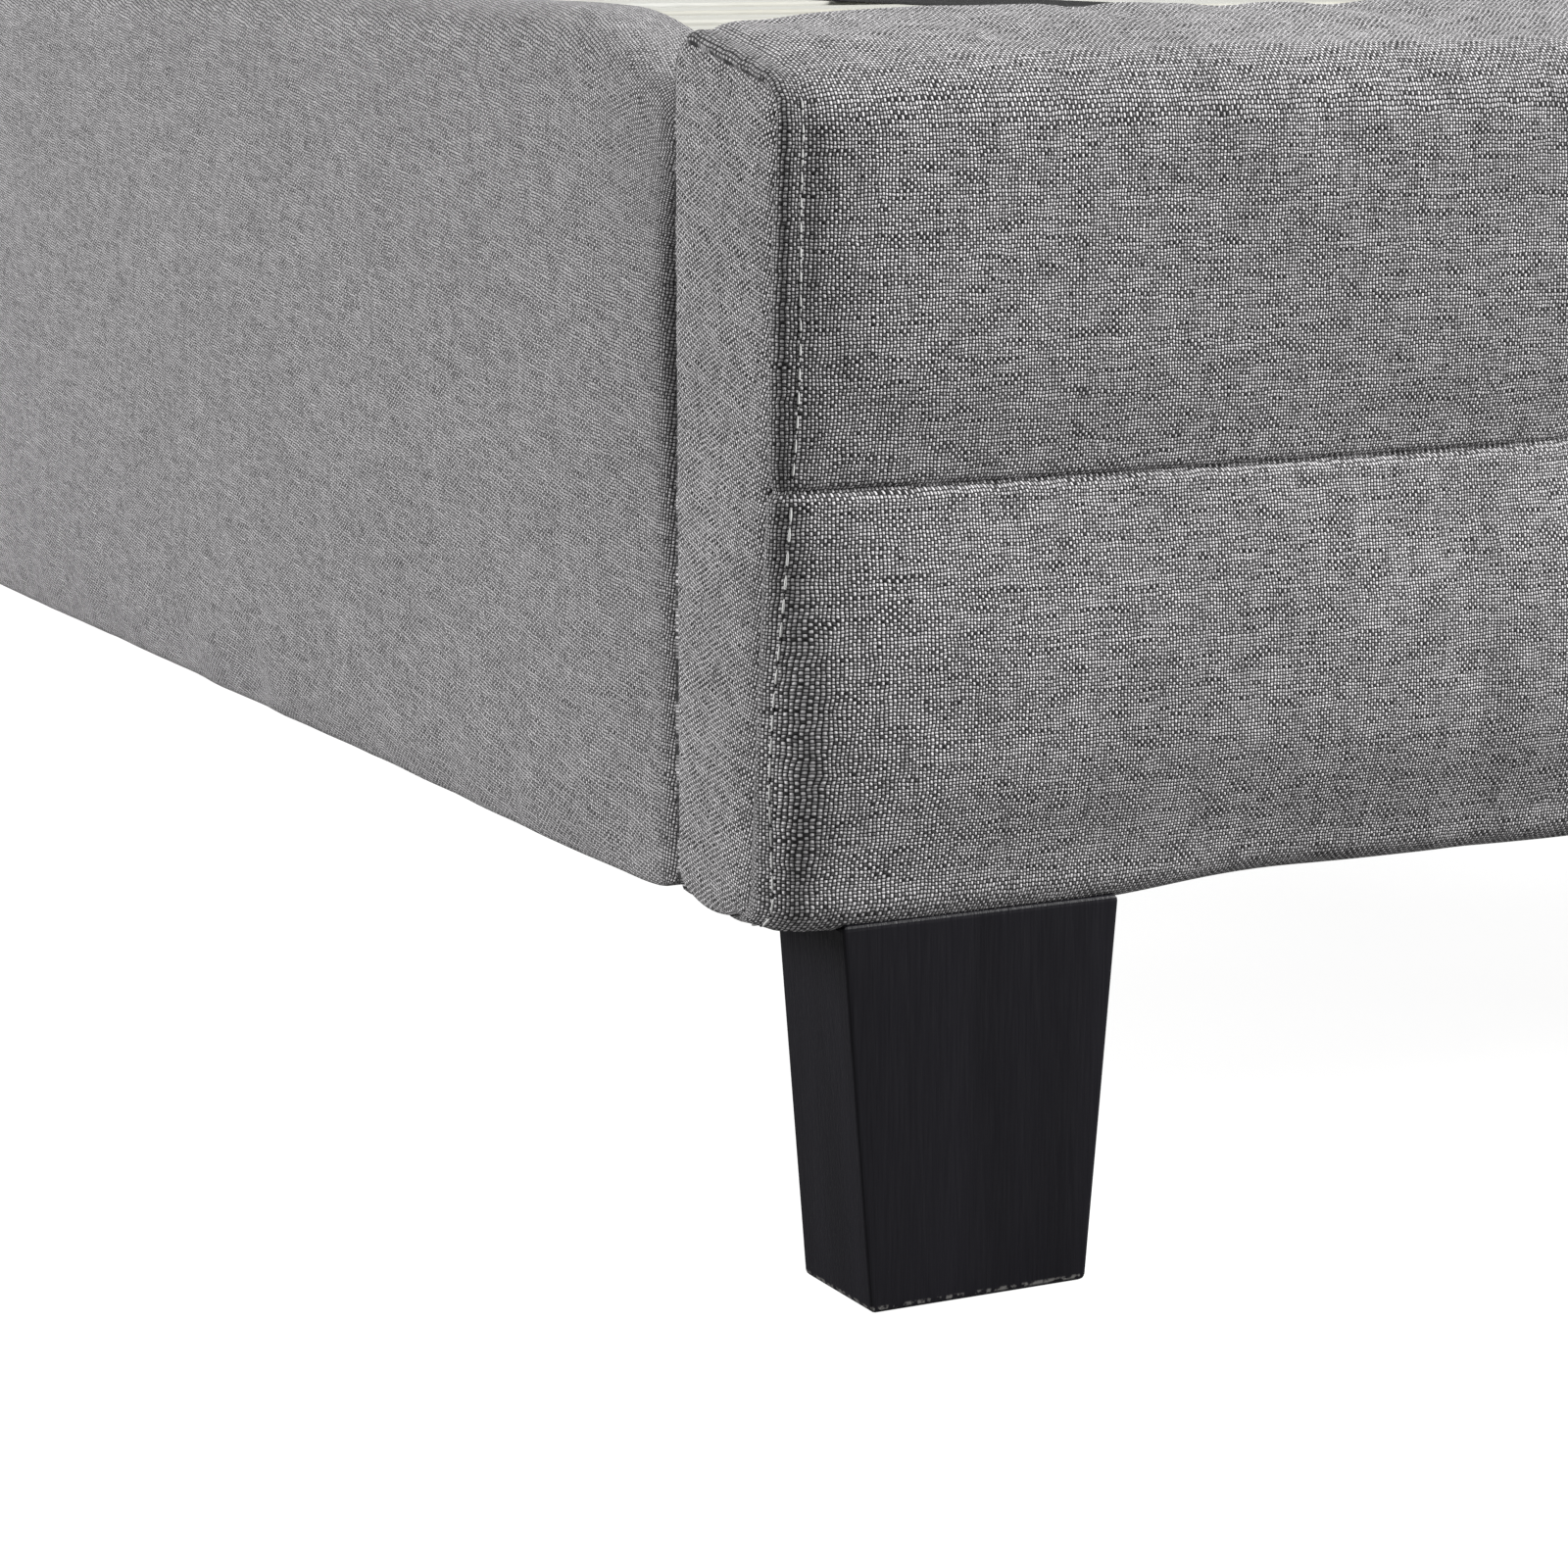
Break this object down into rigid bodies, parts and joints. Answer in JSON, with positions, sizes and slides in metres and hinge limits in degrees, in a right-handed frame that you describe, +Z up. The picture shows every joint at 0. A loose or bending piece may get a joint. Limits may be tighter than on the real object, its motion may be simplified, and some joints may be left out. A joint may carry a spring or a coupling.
{
  "type": "sleigh bed",
  "caption": "Upholstered sleigh bed: rolled tufted headboard, low tufted footboard, padded side rails, tapered block legs, slatted base on a centre rail with levelling feet.",
  "frame": {"origin": "on the floor, at the centre of the bed's footprint", "axes": "+X across the bed, +Y from the footboard to the headboard, +Z up"},
  "size_m": [1.45, 2.229, 1.1176],
  "materials": {
    "linen": "heathered grey plain-weave linen over foam, matt",
    "black_wood": "black satin paint with faint open grain, worn at the lowest edges",
    "pale_wood": "pale planed poplar, unfinished",
    "plywood": "raw plywood",
    "black_steel": "black powder coat",
    "black_plastic": "moulded black plastic",
    "black_webbing": "black woven webbing"
  },
  "bodies": {
    "bed": {"centre_bracket_foot": "black_steel", "centre_bracket_head": "black_steel", "centre_leg_1": "black_wood", "centre_leg_2": "black_wood", "centre_rail": "pale_wood", "corner_bracket_foot_left": "black_steel", "corner_bracket_foot_right": "black_steel", "corner_bracket_head_left": "black_steel", "corner_bracket_head_right": "black_steel", "foot_batten_bottom": "pale_wood", "foot_batten_top": "pale_wood", "foot_button_1": "linen", "foot_button_2": "linen", "foot_button_3": "linen", "foot_button_4": "linen", "foot_front_board": "plywood", "foot_gusset_left": "linen", "foot_gusset_right": "linen", "foot_leg_left": "black_wood", "foot_leg_right": "black_wood", "foot_padding": "linen", "foot_stile_left": "pale_wood", "foot_stile_right": "pale_wood", "head_back_panel": "linen", "head_button_1": "linen", "head_button_2": "linen", "head_button_3": "linen", "head_button_4": "linen", "head_front_board": "plywood", "head_gusset_left": "linen", "head_gusset_right": "linen", "head_leg_left": "black_wood", "head_leg_right": "black_wood", "head_padding": "linen", "head_rail_high": "pale_wood", "head_rail_low": "pale_wood", "head_rib_left": "plywood", "head_rib_mid": "plywood", "head_rib_right": "plywood", "ledger_left": "pale_wood", "ledger_right": "pale_wood", "rail_board_left": "pale_wood", "rail_board_right": "pale_wood", "rail_padding_left": "linen", "rail_padding_right": "linen", "slat_01": "pale_wood", "slat_02": "pale_wood", "slat_03": "pale_wood", "slat_04": "pale_wood", "slat_05": "pale_wood", "slat_06": "pale_wood", "slat_07": "pale_wood", "slat_08": "pale_wood", "slat_09": "pale_wood", "slat_10": "pale_wood", "slat_11": "pale_wood", "slat_12": "pale_wood", "slat_band": "black_webbing"},
    "level_foot_1": {"level_foot_1": "black_plastic"},
    "level_foot_2": {"level_foot_2": "black_plastic"}
  },
  "joints": [
    {"name": "level_foot_1_screw", "type": "slide", "parent": "bed", "child": "level_foot_1", "axis": [0, 0, 1], "range_m": [0, 0.01]},
    {"name": "level_foot_2_screw", "type": "slide", "parent": "bed", "child": "level_foot_2", "axis": [0, 0, 1], "range_m": [0, 0.01]}
  ]
}
